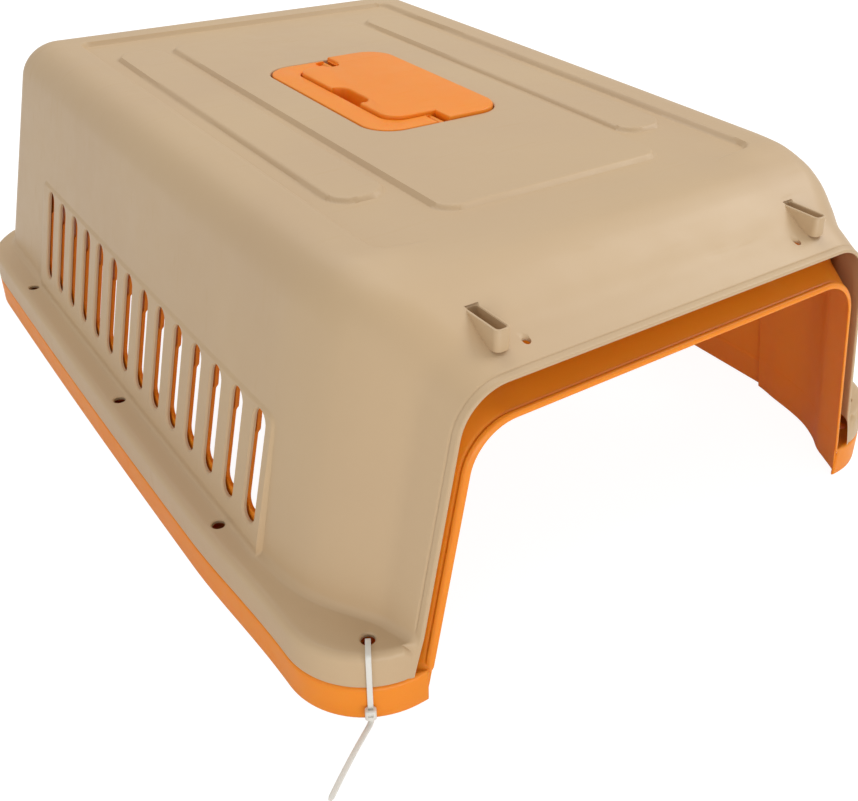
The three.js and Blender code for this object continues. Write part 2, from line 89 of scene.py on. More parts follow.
PANEL = {"front": 97.0, "back": 455.0, "foot": 3.2, "head": 1.2, "top": 78.0, "radius": 5.0}
SLOT = {"count": 14, "first": 110.0, "pitch": 25.0, "width": 12.5, "height": 63.0}
HOLE = {"radius": 3.5, "from_edge": 9.5, "depths": [131.5, 275.0, 454.0]}
CORNER_HOLE = (176.5, 16.7)
RECESS = {"half_width": 126.2, "front": 82.0, "back": 488.0, "radius": 8.0}
PAD_RISE = 2.5
PADS = [                           # middle x, half width, front, back, corner radius
    (0.0, 75.0, 103.0, 452.0, 12.0),
    (98.5, 16.5, 139.0, 452.0, 14.0),
]
SOCKET = {
    "x": 106.25, "half_width": 4.25, "front": 11.5, "back": 38.0,
    "top": 185.0, "depth": 21.0, "wall": 1.5, "radius": 3.0,
}
DRAIN = {"x": 91.6, "depth": 14.6, "radius": 2.2}
PAD_TOP = ROOF + PAD_RISE

HANDLE = {"half_width": 46.0, "front": 213.0, "back": 363.0, "radius": 19.0}
GRIP_WIDTH = 17.0
ARM_WIDTH = 15.0
ARM_THICK = 7.0
ARM_ROUND = 0.9                    # rounding of the handle's edges
POCKET_DEPTH = 12.0
POCKET_GAP = 0.8                   # dark line round the insert
INNER_BEND = 12.0
ISLAND_RISE = 2.0
ISLAND_GAP = 0.7                   # between the folded handle's place and the island
HINGE_Z = PAD_TOP - ARM_THICK / 2
ARM_INNER = (HANDLE["front"] + ARM_WIDTH, HANDLE["back"] - ARM_WIDTH)
BASE_FLOOR = PAD_TOP - POCKET_DEPTH + GAP
WELL_FLOOR = PAD_TOP - ARM_THICK - 1
KNUCKLE_RADIUS = 2.5
HINGE_ROOM = 4.3                   # radius of the hollow that each knuckle turns in
HINGE_WINDOWS = [                  # left, right, front, back, corner radius
    (-4.3, 4.0, HANDLE["front"] - 8, ARM_INNER[0] - 1, 0.8),
    (-8.0, 2.6, ARM_INNER[1] - 7, HANDLE["back"] - 2, 4.0),
]
ARM_SLOT = {"left": -2.0, "right": 3.9, "reach": 3.0, "past": 0.6}      # room for a raised arm's side
PIN_RADIUS = 1.5
PIN_SPANS = [(HANDLE["front"] + 2, ARM_INNER[0] + 9), (ARM_INNER[1] - 9, HANDLE["back"] - 2)]
SCOOP = {"left": -35.0, "right": -19.5, "front": 263.0, "back": 299.0, "radius": 8.0}
SCREWS = [(-12, 238), (-12, 338), (34, 232), (34, 344)]
SCREW_RADIUS = 1.5

TIE_OUT = Vector((-0.5, -math.sqrt(0.75), 0))      # level direction from the corner hole to the skirt
TIE_LOOP = [                       # distance out from the hole, and height
    (13.6, 4.4), (13.5, 2.2), (12.4, 0.95), (2.5, 0.95), (0.7, 2.6), (0, 6), (0, 37), (0.3, 39.8),
    (1.6, 41.1), (4, 41.25), (11.5, 41.25), (12.6, 40.6), (12.6, 38), (12.6, 7),
]
TIE_HEAD = {"from": 12.0, "to": 16.45, "low": 3.4, "high": 9.0, "width": 5.4, "hollow": 2.6}
TIE_TOOTH = 0.12                   # how far the teeth stand out on the loop
TAIL_TOOTH = 0.1
TIE_WIDTH = 2.7
TIE_THICK = 1.1
TAIL_FROM = 14.9
TAIL_LENGTH = 44.0
TAIL_SWAY = -0.5
TAIL_HEADING = math.radians(215)


# ---- small tools ----
def y_at(depth):
    return FRONT + depth


def smooth(low, high, value):
    """0 below low, 1 above high, and an S-curve between them."""
    t = np.clip((np.asarray(value, float) - low) / (high - low), 0, 1)
    return t * t * (3 - 2 * t)


def bow(amount, depth):
    return amount * ((depth - BOW_MIDDLE) / (LENGTH / 2 - 8)) ** 2


def curve_through(places, values, last_slope):
    """A smooth curve through a few points that never swings past them."""
    xs, ys = np.array(places, float), np.array(values, float)
    steps = np.diff(xs)
    slopes = np.diff(ys) / steps
    tangents = np.zeros_like(xs)
    both = slopes[:-1] * slopes[1:] > 0
    before, after = slopes[:-1][both], slopes[1:][both]
    tangents[1:-1][both] = 2 * before * after / (before + after)
    tangents[0], tangents[-1] = slopes[0], last_slope

    def value_at(x):
        i = int(np.clip(np.searchsorted(xs, x, "right") - 1, 0, len(steps) - 1))
        t = min(max((x - xs[i]) / steps[i], 0.0), 1.0)
        h, a, b = steps[i], tangents[i], tangents[i + 1]
        return (ys[i] * (1 + 2 * t) * (1 - t) ** 2 + h * a * t * (1 - t) ** 2
                + ys[i + 1] * t * t * (3 - 2 * t) + h * b * t * t * (t - 1))
    return value_at


def rounded_distance(u, v, middle_u, middle_v, half_u, half_v, radius):
    """Signed distance from a rounded rectangle: negative inside."""
    a = np.abs(u - middle_u) - half_u + radius
    b = np.abs(v - middle_v) - half_v + radius
    outside = np.hypot(np.maximum(a, 0), np.maximum(b, 0))
    return outside + np.minimum(np.maximum(a, b), 0) - radius


def new_object(name, points, faces, material=None):
    """A mesh object from points in millimetres. Points in the same place are welded first."""
    points = np.asarray(points, float)
    keys = np.round(points / 1e-3).astype(np.int64)
    _, first, weld = np.unique(keys, axis=0, return_index=True, return_inverse=True)
    weld = weld.reshape(-1)
    kept = []
    for face in faces:
        ring = []
        for i in weld[list(face)]:
            if not ring or ring[-1] != i:
                ring.append(int(i))
        if len(ring) > 1 and ring[0] == ring[-1]:
            ring.pop()
        if len(ring) > 2 and len(set(ring)) == len(ring):
            kept.append(ring)
    mesh = bpy.data.meshes.new(name)
    mesh.from_pydata((points[first] / METRE).tolist(), [], kept)
    mesh.validate()
    if volume_of(mesh) < 0:
        mesh.flip_normals()
    piece = bpy.data.objects.new(name, mesh)
    bpy.context.scene.collection.objects.link(piece)
    if material:
        mesh.materials.append(material)
    return piece


def volume_of(mesh):
    mesh.calc_loop_triangles()
    corners = np.zeros(3 * len(mesh.loop_triangles), np.int32)
    mesh.loop_triangles.foreach_get("vertices", corners)
    places = np.zeros(3 * len(mesh.vertices), np.float32)
    mesh.vertices.foreach_get("co", places)
    a, b, c = np.moveaxis(places.reshape(-1, 3)[corners.reshape(-1, 3)].astype(float), 1, 0)
    return float(np.einsum("ij,ij->i", a, np.cross(b, c)).sum() / 6)


def finish_shading(piece, sharp=35):
    piece.data.shade_smooth()
    piece.data.set_sharp_from_angle(angle=math.radians(sharp))
    return piece


def boolean(piece, others, operation):
    """Joins or cuts a piece with other pieces, which are used up."""
    for other in others:
        modifier = piece.modifiers.new("cut", "BOOLEAN")
        modifier.operation = operation
        modifier.solver = "MANIFOLD"
        modifier.object = other
    depsgraph = bpy.context.evaluated_depsgraph_get()
    result = bpy.data.meshes.new_from_object(piece.evaluated_get(depsgraph), depsgraph=depsgraph)
    piece.modifiers.clear()
    old = piece.data
    piece.data = result
    bpy.data.meshes.remove(old)
    for other in others:
        bpy.data.objects.remove(other)
    return piece


def loft(name, rings, material=None):
    """A closed body through rings of the same number of points, with flat ends."""
    count = len(rings[0])
    points = [point for ring in rings for point in ring]
    faces = [list(range(count))[::-1], [len(points) - count + i for i in range(count)]]
    for r in range(len(rings) - 1):
        for i in range(count):
            j = (i + 1) % count
            faces.append([r * count + i, r * count + j, (r + 1) * count + j, (r + 1) * count + i])
    return new_object(name, points, faces, material)


def arc(x, y, radius, start, end, steps):
    angles = np.radians(np.linspace(start, end, steps + 1))
    return [(x + radius * math.cos(a), y + radius * math.sin(a)) for a in angles]


def rounded_box(left, right, front, back, radius, steps=8):
    return [
        *arc(right - radius, front + radius, radius, -90, 0, steps),
        *arc(right - radius, back - radius, radius, 0, 90, steps),
        *arc(left + radius, back - radius, radius, 90, 180, steps),
        *arc(left + radius, front + radius, radius, 180, 270, steps),
    ]


def grown(outline, amount):
    """The outline moved outwards by an amount; it runs anticlockwise."""
    points = np.array(outline, float)
    before, after = np.roll(points, 1, 0), np.roll(points, -1, 0)
    first = points - before
    second = after - points
    normals = []
    for a, b in zip(first, second):
        a, b = a / max(np.hypot(*a), 1e-9), b / max(np.hypot(*b), 1e-9)
        normal = np.array([a[1] + b[1], -a[0] - b[0]])
        length = max(np.hypot(*normal), 1e-9)
        normals.append(normal / length * min(2 / length, 1.6))
    return [tuple(p) for p in points + amount * np.array(normals)]


def slab(name, outline, levels, material=None):
    """An outline in plan, stacked: each level is a height and how much the outline grows there."""
    return loft(name, [[(x, y, z) for x, y in grown(outline, grow)] for z, grow in levels], material)


def edge_levels(low, high, low_round, high_round, steps=4):
    """Levels for a slab whose lower and upper edges are rounded."""
    levels = []
    for i in range(steps + 1):
        a = math.pi / 2 * i / steps
        levels.append((low + low_round * (1 - math.sin(a)), -low_round * (1 - math.cos(a))))
    levels = levels[::-1]
    for i in range(steps + 1):
        a = math.pi / 2 * i / steps
        levels.append((high - high_round * (1 - math.sin(a)), -high_round * (1 - math.cos(a))))
    return levels


def hollow_levels(floor, top, edge, steps=4):
    """Levels for a cutter that leaves a rounded edge round the hollow it cuts."""
    turns = [math.pi / 2 * i / steps for i in range(steps + 1)]
    rounded = [(top - edge * (1 - math.sin(t)), edge * (1 - math.cos(t))) for t in turns]
    return [(floor, 0), *rounded, (top + 1, edge + 1)]


def sweep(name, path, across, sections, material=None):
    """A closed body along a path; each section lists its corners as distances across and up."""
    across = Vector(across).normalized()
    points = [Vector(point) for point in path]
    rings = []
    for i, (point, section) in enumerate(zip(points, sections)):
        along = points[min(i + 1, len(points) - 1)] - points[max(i - 1, 0)]
        up = along.cross(across).normalized()
        rings.append([tuple(point + across * u + up * v) for u, v in section])
    return loft(name, rings, material)


def cylinder(name, radius, start, end, sides=28, flare=0.0):
    """A round cutter or pin between two points; flare widens its far end at 45 degrees."""
    start, end = Vector(start), Vector(end)
    along = (end - start).normalized()
    across = along.orthogonal().normalized()
    other = along.cross(across)
    stations = [(start, radius), (end, radius)]
    if flare:
        stations = [(start, radius), (end - along * 3 * flare, radius), (end, radius + 3 * flare)]
    rings = []
    for centre, size in stations:
        turns = [2 * math.pi * i / sides for i in range(sides)]
        rings.append([tuple(centre + size * (math.cos(t) * across + math.sin(t) * other)) for t in turns])
    return loft(name, rings)


# ---- camera ----
CAMERA_PLACE = (-349.3, -586.6, 410.0)
CAMERA_YAW, CAMERA_PITCH, CAMERA_ROLL = -37.89, 30.37, 1.86      # degrees
camera_data = bpy.data.cameras.new("camera")
camera_data.lens = 44.66
camera_data.sensor_width = 36
camera_data.shift_x = -0.0828
camera_data.shift_y = -0.0705
camera_data.clip_end = 60
camera = bpy.data.objects.new("camera", camera_data)
camera.matrix_world = (
    Matrix.Translation(Vector(CAMERA_PLACE) / METRE)
    @ Matrix.Rotation(math.radians(CAMERA_YAW), 4, "Z")
    @ Matrix.Rotation(math.radians(90 - CAMERA_PITCH), 4, "X")
    @ Matrix.Rotation(math.radians(CAMERA_ROLL), 4, "Z")
)
bpy.context.scene.collection.objects.link(camera)
bpy.context.scene.camera = camera


# ---- materials ----
def moulded_plastic(name, light, dark, roughness, grain=0.12, through=0.0, glow=(1.0, 0.5, 0.2)):
    """Injection-moulded plastic: faint mottling, a fine moulded grain and soft handling marks."""
    material = bpy.data.materials.new(name)
    material.use_nodes = True
    nodes, links = material.node_tree.nodes, material.node_tree.links
    surface = nodes["Principled BSDF"]
    place = nodes.new("ShaderNodeTexCoord").outputs["Object"]

    def noise(scale, detail=3.0, stretch=None, distortion=0.0):
        texture = nodes.new("ShaderNodeTexNoise")
        texture.inputs["Scale"].default_value = scale
        texture.inputs["Detail"].default_value = detail
        texture.inputs["Distortion"].default_value = distortion
        source = place
        if stretch:
            mapping = nodes.new("ShaderNodeMapping")
            mapping.inputs["Scale"].default_value = stretch
            mapping.inputs["Rotation"].default_value = (0.3, 0.2, 0.7)
            links.new(place, mapping.inputs["Vector"])
            source = mapping.outputs["Vector"]
        links.new(source, texture.inputs["Vector"])
        return texture.outputs["Fac"]

    def ramp(value, stops):
        node = nodes.new("ShaderNodeValToRGB")
        node.color_ramp.elements[0].position, node.color_ramp.elements[0].color = stops[0]
        node.color_ramp.elements[1].position, node.color_ramp.elements[1].color = stops[-1]
        for position, colour in stops[1:-1]:
            node.color_ramp.elements.new(position).color = colour
        links.new(value, node.inputs["Fac"])
        return node.outputs["Color"]

    def remap(value, low, high, out_low, out_high):
        node = nodes.new("ShaderNodeMapRange")
        for key, number in (("From Min", low), ("From Max", high), ("To Min", out_low), ("To Max", out_high)):
            node.inputs[key].default_value = number
        links.new(value, node.inputs["Value"])
        return node.outputs["Result"]

    clouds = noise(7.0, 4.0, distortion=0.4)
    links.new(ramp(clouds, [(0.36, (*dark, 1)), (0.64, (*light, 1))]), surface.inputs["Base Color"])

    scuffs = remap(noise(26.0, 6.0, stretch=(1.0, 9.0, 2.0)), 0.60, 0.74, 0.0, 0.10)
    worn = nodes.new("ShaderNodeMath")
    worn.operation = "ADD"
    links.new(remap(noise(55.0, 3.0), 0.3, 0.7, roughness - 0.04, roughness + 0.04), worn.inputs[0])
    links.new(scuffs, worn.inputs[1])
    links.new(worn.outputs[0], surface.inputs["Roughness"])

    fine = nodes.new("ShaderNodeBump")
    fine.inputs["Strength"].default_value = grain
    fine.inputs["Distance"].default_value = 0.0002
    links.new(noise(1500.0, 2.0), fine.inputs["Height"])
    wavy = nodes.new("ShaderNodeBump")
    wavy.inputs["Strength"].default_value = 0.05
    wavy.inputs["Distance"].default_value = 0.004
    links.new(noise(14.0, 2.0), wavy.inputs["Height"])
    links.new(wavy.outputs["Normal"], fine.inputs["Normal"])
    links.new(fine.outputs["Normal"], surface.inputs["Normal"])
    surface.inputs["IOR"].default_value = 1.41
    if through:
        surface.inputs["Subsurface Weight"].default_value = through
        surface.inputs["Subsurface Radius"].default_value = glow
        surface.inputs["Subsurface Scale"].default_value = 0.004
    return material


def brushed_steel():
    material = bpy.data.materials.new("steel")
    material.use_nodes = True
    nodes, links = material.node_tree.nodes, material.node_tree.links
    surface = nodes["Principled BSDF"]
    surface.inputs["Base Color"].default_value = (0.52, 0.53, 0.55, 1)
    surface.inputs["Metallic"].default_value = 1.0
    place = nodes.new("ShaderNodeTexCoord").outputs["Object"]
    texture = nodes.new("ShaderNodeTexNoise")
    texture.inputs["Scale"].default_value = 900
    links.new(place, texture.inputs["Vector"])
    spread = nodes.new("ShaderNodeMapRange")
    spread.inputs["To Min"].default_value = 0.22
    spread.inputs["To Max"].default_value = 0.42
    links.new(texture.outputs["Fac"], spread.inputs["Value"])
    links.new(spread.outputs["Result"], surface.inputs["Roughness"])
    return material


BEIGE_PLASTIC = moulded_plastic("beige_plastic", (0.600, 0.428, 0.248), (0.580, 0.410, 0.242), 0.42)
ORANGE_PLASTIC = moulded_plastic(
    "orange_plastic", (0.94, 0.285, 0.014), (0.92, 0.270, 0.013), 0.40, through=0.3, glow=(1.0, 0.35, 0.05),
)
NYLON = moulded_plastic("white_nylon", (0.80, 0.775, 0.71), (0.76, 0.735, 0.67), 0.34, grain=0.04)
STEEL = brushed_steel()


# ---- half-shells ----
def row_depths():
    """Depths of the arches from the lip to the rear bend, closer together where shapes change."""
    stretches = [
        (WALL / 2, 5.3, 0.35), (5.3, 78, 2.4), (78, 88, 0.8), (88, 95.4, 1.85), (95.4, 98.6, 0.4),
        (98.6, 118, 1.3), (118, 137, 4.0), (137, 156, 1.3), (156, 425, 9.0), (425, BEND_START, 1.6),
    ]
    depths = []
    for start, end, step in stretches:
        count = max(1, round((end - start) / step))
        depths += list(np.linspace(start, end, count, endpoint=False))
    return depths + [BEND_START]


def crown_fractions():
    coarse = np.linspace(0, 0.44, 9, endpoint=False)
    return np.concatenate([coarse, np.linspace(0.44, 1, 62)])


WALL_HEIGHTS = np.array([96, 88, 83, 80.5, 79.4, 78.6, 77.8, 77, 76.2, 75.2, 73.5, 70, 60, 46, 32, 20, 11, 6])
CROWN = crown_fractions()
ROOF_TURNS = np.linspace(math.pi / 2, LEAN, 15)[1:]
SHOULDER_STEPS = 5
FOOT_TURNS = np.linspace(0, math.pi / 2, 6)
FLANGE_SHARES = np.array([0.3, 0.6, 0.85])
EDGE_TURNS = np.linspace(0, math.pi / 2, 6)
SKIRT_SHARES = np.array([0.35, 0.7, 1.0])
RIM_TURNS = np.linspace(0, math.pi / 2, 4)[1:]
SKIN_COLUMNS = len(CROWN) + len(ROOF_TURNS) + SHOULDER_STEPS + len(WALL_HEIGHTS)
PLAN_COLUMNS = len(FOOT_TURNS) + len(FLANGE_SHARES) + len(EDGE_TURNS) + len(SKIRT_SHARES)
COLUMNS = SKIN_COLUMNS + PLAN_COLUMNS + len(RIM_TURNS)


def roof_relief(x, depth, pads):
    """Height of the roof over the recessed panel: the rim round it and the raised pads on it."""
    x = np.abs(x)
    middle = (RECESS["front"] + RECESS["back"]) / 2
    half = (RECESS["back"] - RECESS["front"]) / 2
    off = rounded_distance(x, depth, 0, middle, RECESS["half_width"], half, RECESS["radius"])
    front_fade = np.maximum(smooth(92, 124, x), smooth(84, 120, depth))
    height = RIM * smooth(56, 84, depth) * smooth(-1.7, 1.7, off) * front_fade
    if pads:
        for pad_x, half_width, front, back, radius in PADS:
            middle, half = (front + back) / 2, (back - front) / 2
            off = rounded_distance(x, depth, pad_x, middle, half_width, half, radius)
            height = height + PAD_RISE * (1 - smooth(-1.7, 1.3, off))
    return height


def panel_relief(depth, z):
    """How far the ventilation panel stands proud of the side wall."""
    low = -60.0
    off = rounded_distance(
        depth, z, (PANEL["front"] + PANEL["back"]) / 2, (PANEL["top"] + low) / 2,
        (PANEL["back"] - PANEL["front"]) / 2, (PANEL["top"] - low) / 2, PANEL["radius"],
    )
    proud = PANEL["foot"] + (PANEL["head"] - PANEL["foot"]) * np.clip(z, 0, None) / PANEL["top"]
    return proud * (1 - smooth(-0.9, 0.9, off))


def edge_at(depth, mouth=UPPER_MOUTH):
    """The flange's edge beside a depth of the wall's foot: its place in plan and the way it faces.

    Beside the front corner the edge runs from the mouth round the corner's arc, evenly spread over the wall.
    """
    corner = FRONT_CORNER
    radius = corner["radius"]
    start_turn = math.asin(min((mouth - corner["x"]) / radius, 1)) if mouth > corner["x"] else 0.0
    straight_front = max(corner["x"] - mouth, 0)
    bend = radius * (math.pi / 2 - start_turn)
    whole = straight_front + bend + MOUTH_END - corner["depth"]
    place = whole * depth / MOUTH_END
    if depth < MOUTH_END and place < straight_front:
        return (mouth + place, 0.0), (0.0, -1.0)
    if depth < MOUTH_END and place < straight_front + bend:
        turn = start_turn + (place - straight_front) / radius
        way = (math.sin(turn), -math.cos(turn))
        return (corner["x"] + radius * way[0], corner["depth"] + radius * way[1]), way
    if depth < MOUTH_END:
        depth = corner["depth"] + place - straight_front - bend
    if depth > REAR_SPREAD:
        rear = LENGTH - BACK_CORNER["radius"]
        depth = REAR_SPREAD + (depth - REAR_SPREAD) * (rear - REAR_SPREAD) / (BEND_START - REAR_SPREAD)
    blend = float(smooth(corner["depth"], 150, depth))
    start = corner["x"] + radius
    bowed = HALF_WIDTH - bow(SIDE_BOW, depth)
    return (start + (bowed - start) * blend, depth), (1.0, 0.0)


class HalfShell:
    """Half of a shell's surface, as a grid: rows run back along the shell, columns from roof to skirt."""

    def __init__(self, foot, widen, top, pads, edge_radius, foot_radius, lip, mouth):
        def plain(depth):
            return WALL_FOOT + widen - bow(WALL_BOW, depth)
        self.plain = plain
        self.foot_curve = curve_through(MOUTH_DEPTH + [MOUTH_END], foot + [plain(MOUTH_END)], 0.01)
        self.rise_curve = curve_through(MOUTH_DEPTH, MOUTH_RISE, 0)
        self.radius_curve = curve_through(MOUTH_DEPTH, MOUTH_RADIUS, 0)
        self.top, self.pads, self.lip, self.mouth = top, pads, lip, mouth
        self.edge_radius, self.foot_radius = edge_radius, foot_radius

    def foot(self, depth):
        return self.foot_curve(depth) if depth < MOUTH_END else self.plain(depth)

    def skin(self, foot, rise, radius, rim, inset, depth_of, relief=True):
        """Crown, roof edge and side wall of one arch: x, depth and height of each column."""
        lean = 1 / math.cos(LEAN)
        wall_start = len(CROWN) + len(ROOF_TURNS)
        crown_inset, turn_inset, wall_inset = np.split(inset[:SKIN_COLUMNS], [len(CROWN), wall_start])
        centre_z = rise + rim - radius
        centre_x = foot - DRAFT * centre_z - radius * lean
        crown_x = centre_x * CROWN
        crown_z = np.full_like(crown_x, rise + rim)
        if relief:
            crown_z = rise + roof_relief(crown_x, depth_of(crown_z), self.pads)
        size = radius - turn_inset
        turn_x = centre_x + size * np.cos(ROOF_TURNS)
        turn_z = centre_z + size * np.sin(ROOF_TURNS)
        wall_top = centre_z + radius * math.sin(LEAN)
        shoulder = np.linspace(wall_top, WALL_HEIGHTS[0], SHOULDER_STEPS + 1)[1:]
        heights = np.minimum(np.concatenate([shoulder, WALL_HEIGHTS]), wall_top)
        wall_x = foot - DRAFT * heights - wall_inset * lean
        x = np.concatenate([crown_x, turn_x, wall_x])
        z = np.concatenate([crown_z - crown_inset, turn_z, heights])
        depth = depth_of(z)
        if relief:
            x[wall_start:] = x[wall_start:] + panel_relief(depth[wall_start:], z[wall_start:])
        return x, depth, z

    def base(self, foot, foot_way, edge, edge_way, inset, relief_x=0.0):
        """Foot fillet, flange, rounded edge and skirt, from the foot line out to the flange's edge."""
        inset = inset[SKIN_COLUMNS:]
        foot, foot_way = np.array(foot, float), np.array(foot_way, float)
        edge, edge_way = np.array(edge, float), np.array(edge_way, float)
        room = np.hypot(*(edge - foot))
        shrink = min(1.0, 0.92 * room / (self.foot_radius + self.edge_radius))
        foot_radius, edge_radius = self.foot_radius * shrink, self.edge_radius * shrink
        n = len(FOOT_TURNS)
        size = foot_radius + inset[:n]
        z = foot_radius - size * np.sin(FOOT_TURNS)
        out = foot_radius - size * np.cos(FOOT_TURNS) - DRAFT * z
        out = out + relief_x * (1 - FOOT_TURNS / (math.pi / 2))
        plan = [foot + foot_way * o for o in out]
        heights = list(z)
        start = foot + foot_way * foot_radius
        end = edge - edge_way * edge_radius
        for share, i in zip(FLANGE_SHARES, inset[n:]):
            plan.append(start + (end - start) * share)
            heights.append(-i)
        n += len(FLANGE_SHARES)
        for turn, i in zip(EDGE_TURNS, inset[n:]):
            size = max(edge_radius - i, 0)
            plan.append(end + edge_way * size * math.sin(turn))
            heights.append(-edge_radius + size * math.cos(turn))
        n += len(EDGE_TURNS)
        straight = SKIRT - edge_radius - WALL / 2
        for share, i in zip(SKIRT_SHARES, inset[n:]):
            plan.append(edge - edge_way * i)
            heights.append(-edge_radius - straight * share)
        n += len(SKIRT_SHARES)
        for turn, i in zip(RIM_TURNS, inset[n:]):
            plan.append(edge - edge_way * i)
            heights.append(-SKIRT + WALL / 2 * (1 - math.sin(turn)))
        plan = np.array(plan)
        return plan[:, 0], plan[:, 1], np.array(heights)

    def arch(self, depth, inset):
        tilt = float(smooth(300, 500, depth))
        rim = RIM * float(smooth(56, 84, depth))
        foot = self.foot(depth)
        skin = self.skin(
            foot, self.rise_curve(depth), self.radius_curve(depth), rim, inset,
            lambda z: depth - tilt * DRAFT * np.asarray(z, float),
        )
        edge, way = edge_at(depth, self.mouth)
        proud = float(panel_relief(np.array([depth]), np.array([0.0]))[0])
        x, place, z = self.base((foot, depth), (1, 0), edge, way, inset, proud)
        if self.mouth > FRONT_CORNER["x"]:
            # The lip runs straight down to the skirt's rim, and the flange spreads out behind it.
            lip = 1 - float(smooth(0, 4, depth))
            share = np.linspace(0, 1, len(z))
            x = x + lip * (x[0] + (x[-1] - x[0]) * share - x)
            place = place + lip * (depth + (edge[1] - depth) * share - place)
            z = z + lip * (z[0] + (z[-1] - z[0]) * share - z)
        return skin, (x, place, z)

    def bend(self, turn, inset):
        start = self.plain(BEND_START)
        skin_inset = inset[:SKIN_COLUMNS]
        radius = BACK_RADIUS
        drop = radius * (1 - math.cos(turn))
        x, _, z = self.skin(
            start - drop, SHELL_RISE + RIM - drop, ROOF_RADIUS - 0.7 * drop, 0, inset * math.cos(turn),
            lambda value: np.asarray(value, float), relief=False,
        )
        lean = 1 / math.cos(LEAN)
        depth = BACK_FOOT - DRAFT * z - radius * (1 - math.sin(turn)) - skin_inset * math.sin(turn) * lean
        way = (math.cos(turn), math.sin(turn))
        corner = (BACK_CORNER["x"], LENGTH - BACK_CORNER["radius"])
        edge = (corner[0] + BACK_CORNER["radius"] * way[0], corner[1] + BACK_CORNER["radius"] * way[1])
        foot = (start - drop, BEND_START + radius * math.sin(turn))
        return (x, depth, z), self.base(foot, way, edge, way, inset)

    def back(self, size, inset):
        (x, depth, z), _ = self.bend(math.pi / 2, inset)
        low = self.foot_radius
        z = low + size * (z - low)
        depth = BACK_FOOT - DRAFT * z - inset[:SKIN_COLUMNS] / math.cos(LEAN)
        foot = self.plain(BEND_START) - BACK_RADIUS
        base = self.base(
            (size * foot, BACK_FOOT), (0, 1), (size * BACK_CORNER["x"], LENGTH), (0, 1), inset,
        )
        return (size * x, depth, z), base

    def rows(self):
        for turn in np.linspace(math.pi / 2, 0, 5)[:-1]:
            yield "arch", WALL / 2 * (1 - math.sin(turn)), 1 - math.cos(turn)
        for depth in row_depths():
            yield "arch", depth, 0.0
        for turn in np.linspace(0, math.pi / 2, 15)[1:]:
            yield "bend", turn, 0.0
        for size in np.linspace(1, 0, 9)[1:]:
            yield "back", size, 0.0

    def face(self, inner):
        """The grid of points on the outside or the inside."""
        rim_close = np.zeros(COLUMNS)
        rim_close[-len(RIM_TURNS):] = 1 - np.cos(RIM_TURNS)
        on_skin = np.zeros(COLUMNS)
        on_skin[:SKIN_COLUMNS] = 1
        grid = []
        for kind, value, lip_close in self.rows():
            close = np.maximum(rim_close, lip_close)
            side = WALL if inner else 0.0
            inset = side + (WALL / 2 - side) * close
            if kind == "arch" and not inner:
                inset = inset + self.lip(value) * on_skin
            skin, base = getattr(self, kind)(value, inset)
            grid.append(np.stack([np.concatenate(pair) for pair in zip(skin, base)], axis=1))
        return np.array(grid)

    def build(self, name, material):
        outer, inner = self.face(False), self.face(True)
        count, width = outer.shape[:2]
        half = np.concatenate([outer.reshape(-1, 3), inner.reshape(-1, 3)])
        half = np.stack([half[:, 0], FRONT + half[:, 1], self.top + half[:, 2]], axis=1)
        number = np.arange(2 * count * width).reshape(2, count, width)
        corners = []

        def quads(grid, flip):
            a, b, c, d = grid[:-1, :-1], grid[:-1, 1:], grid[1:, 1:], grid[1:, :-1]
            order = (a, d, c, b) if flip else (a, b, c, d)
            corners.append(np.stack([part.reshape(-1) for part in order], axis=1))
        quads(number[0], False)
        quads(number[1], True)
        faces = np.concatenate(corners)
        total = len(half)
        points = np.concatenate([half, half * np.array([-1, 1, 1])])
        faces = np.concatenate([faces, faces[:, ::-1] + total])
        return new_object(name, points, faces.tolist(), material)


def upper_lip(depth):
    return 0.5 * math.exp(-((depth - 4.1) / 0.5) ** 2)


def lower_lip(depth):
    bead = -0.7 * float(1 - smooth(2.2, 3.0, depth)) * float(smooth(0.0, 0.9, depth))
    return bead + 0.35 * math.exp(-((depth - 3.5) / 0.45) ** 2)


def inner_lip(half, top):
    """The lower shell's wall below its flange, as one strip round the sides and the back."""
    bend = np.linspace(0, math.pi / 2, 12)
    start = half.plain(BEND_START)
    right = [
        ((half.foot(depth) + float(panel_relief(np.array([depth]), np.array([0.0]))[0]), depth), (1, 0))
        for depth in row_depths()
    ]
    for turn in bend[1:]:
        way = (math.cos(turn), math.sin(turn))
        right.append(((start - BACK_RADIUS * (1 - way[0]), BEND_START + BACK_RADIUS * way[1]), way))
    left = [((-x, depth), (-way_x, way_y)) for (x, depth), (way_x, way_y) in right[::-1]]
    lean = 1 / math.cos(LEAN)
    low, high = -INNER_LIP, 8.0
    inner = WALL + 0.05
    section = [
        (0.6, high), (0.6, 0), (0, -2), (0, low + 0.6),
        (0.35, low), (inner - 0.35, low), (inner, low + 0.6), (inner, high),
    ]
    rings = []
    for (x, depth), (way_x, way_y) in [*right, *left]:
        ring = []
        for inset, z in section:
            out = -DRAFT * z - inset * lean
            ring.append((x + way_x * out, y_at(depth + way_y * out), top + z))
        rings.append(ring)
    return loft("inner_lip", rings)


